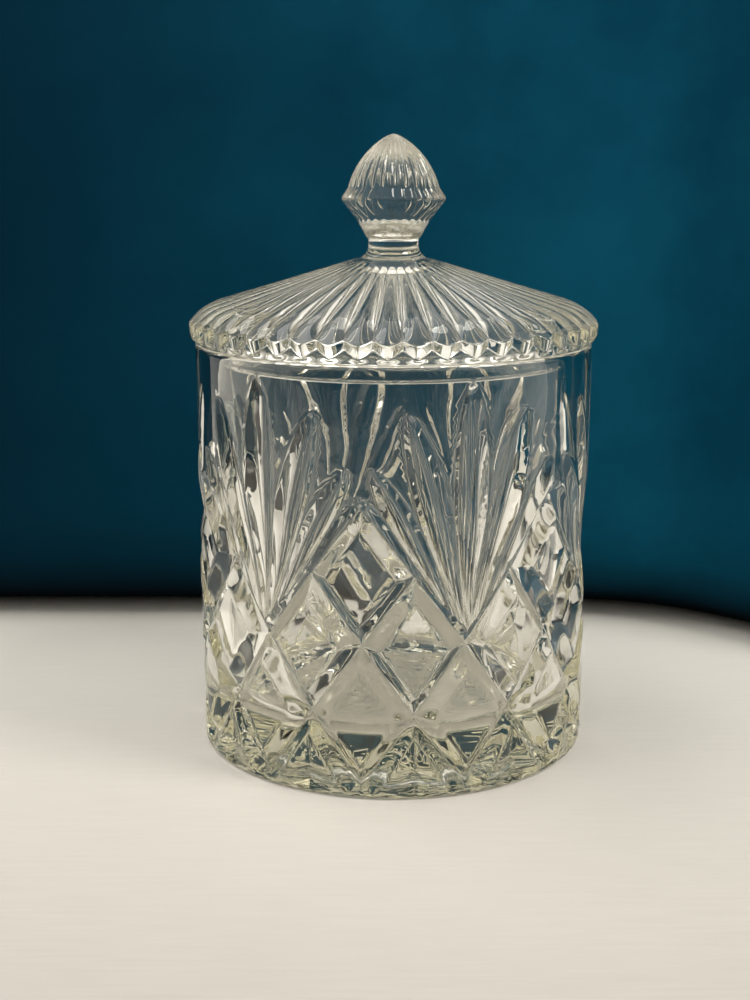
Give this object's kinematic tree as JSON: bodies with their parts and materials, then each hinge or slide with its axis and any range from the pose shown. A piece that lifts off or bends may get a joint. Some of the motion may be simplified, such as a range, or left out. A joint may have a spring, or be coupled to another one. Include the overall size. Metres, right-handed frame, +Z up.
{
  "type": "lidded glass candle jar",
  "caption": "Round pressed-glass jar with a cut diamond and fan pattern and a reeded lift-off lid with a knob, for holding a poured candle.",
  "frame": {"origin": "middle of the jar's base, on the surface that it stands on", "axes": "+Z up through the jar, the lid and the knob; -Y is the front"},
  "size_m": [0.1028, 0.1028, 0.1539],
  "materials": {
    "jar_glass": "clear colourless pressed glass, fire polished",
    "lid_glass": "clear colourless pressed glass, fire polished"
  },
  "bodies": {
    "jar": {"jar": "jar_glass"},
    "lid": {"lid": "lid_glass"}
  },
  "joints": [
    {"name": "lid_lift", "type": "slide", "parent": "jar", "child": "lid", "axis": [0, 0, 1], "range_m": [0, 0.1]}
  ]
}
